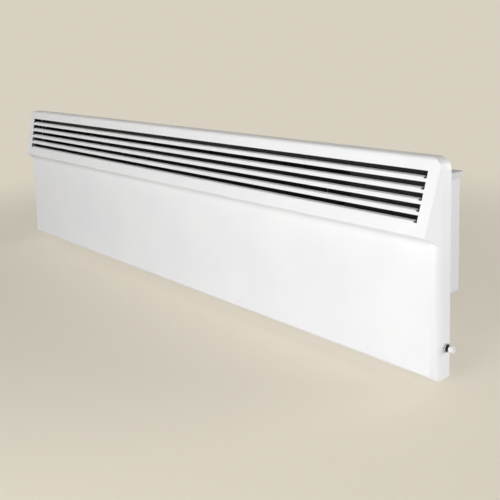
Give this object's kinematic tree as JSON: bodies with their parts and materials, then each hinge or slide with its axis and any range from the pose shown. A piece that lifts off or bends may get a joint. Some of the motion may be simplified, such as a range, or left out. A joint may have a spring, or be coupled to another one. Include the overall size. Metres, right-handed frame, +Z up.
{
  "type": "electric panel heater",
  "caption": "Low, long wall-hung electric heater: pressed front panel with a sloping louvred top, steel rear casing round a finned element, hook-on wall bracket and push buttons.",
  "frame": {"origin": "centre of the wall bracket's screw pattern, on the wall's face", "axes": "+X along the heater to its right end as seen from the room, +Y into the wall, +Z up"},
  "size_m": [0.909, 0.0977, 0.22],
  "materials": {
    "panel_paint": "smooth semi-gloss white powder coat",
    "casing_paint": "satin light grey powder coat",
    "bracket_zinc": "zinc-plated sheet",
    "duct_black": "matt heat-proof black",
    "fin_aluminium": "dark anodised extrusion",
    "steel": "plain steel",
    "bush_ceramic": "unglazed",
    "black_plastic": "moulded",
    "grey_plastic": "fine satin moulding",
    "white_plastic": "smooth moulding",
    "display_tint": "dark tinted, polished",
    "board_green": "solder mask",
    "relay_blue": "moulded",
    "transformer_yellow": "tape-wrapped",
    "grommet_rubber": "matt",
    "lead_blue": "insulation",
    "lead_brown": "insulation",
    "lead_white": "insulation",
    "lead_earth": "green insulation with a yellow stripe",
    "lead_black": "insulation"
  },
  "bodies": {
    "bracket": {"wall_bracket": "bracket_zinc"},
    "heater": {"front_panel": "panel_paint", "rear_casing": "casing_paint", "inner_shield": "duct_black", "air_deflector": "duct_black", "heat_partition": "duct_black", "wire_grommet": "grommet_rubber", "element_fins": "fin_aluminium", "element_sheath": "steel", "element_pins": "steel", "element_bushes": "bush_ceramic", "element_bracket_left": "duct_black", "element_bracket_right": "duct_black", "thermal_cutout": "black_plastic", "terminal_block": "white_plastic", "neutral_lead": "lead_blue", "live_lead": "lead_brown", "element_lead": "lead_brown", "earth_lead": "lead_earth", "earth_stud": "steel", "cable_gland": "black_plastic", "gland_nut": "black_plastic", "room_sensor": "black_plastic", "sensor_lead": "lead_black", "control_cover": "grey_plastic", "display_window": "display_tint", "display_module": "black_plastic", "control_board": "board_green", "tact_switches": "black_plastic", "power_relay": "relay_blue", "transformer": "transformer_yellow", "board_connectors": "white_plastic", "board_lead": "lead_white", "switch_lead": "lead_white", "power_switch": "black_plastic", "switch_nut": "steel", "panel_screws": "steel", "shield_screws": "steel", "board_screws": "steel", "casing_rivets": "steel"},
    "power_button": {"power_button": "white_plastic"},
    "minus_button": {"minus_button": "white_plastic"},
    "plus_button": {"plus_button": "white_plastic"},
    "mode_button": {"mode_button": "white_plastic"}
  },
  "joints": [
    {"name": "heater_lift", "type": "slide", "parent": "bracket", "child": "heater", "axis": [0, 0, 1], "range_m": [0, 0.012]},
    {"name": "power_press", "type": "slide", "parent": "heater", "child": "power_button", "axis": [-1, 0, 0], "range_m": [0, 0.0025], "stiffness_N_per_m": 400, "springref_m": -0.001},
    {"name": "minus_press", "type": "slide", "parent": "heater", "child": "minus_button", "axis": [0, 0, -1], "range_m": [0, 0.001], "stiffness_N_per_m": 500, "springref_m": -0.0008},
    {"name": "plus_press", "type": "slide", "parent": "heater", "child": "plus_button", "axis": [0, 0, -1], "range_m": [0, 0.001], "stiffness_N_per_m": 500, "springref_m": -0.0008},
    {"name": "mode_press", "type": "slide", "parent": "heater", "child": "mode_button", "axis": [0, 0, -1], "range_m": [0, 0.001], "stiffness_N_per_m": 500, "springref_m": -0.0008}
  ]
}
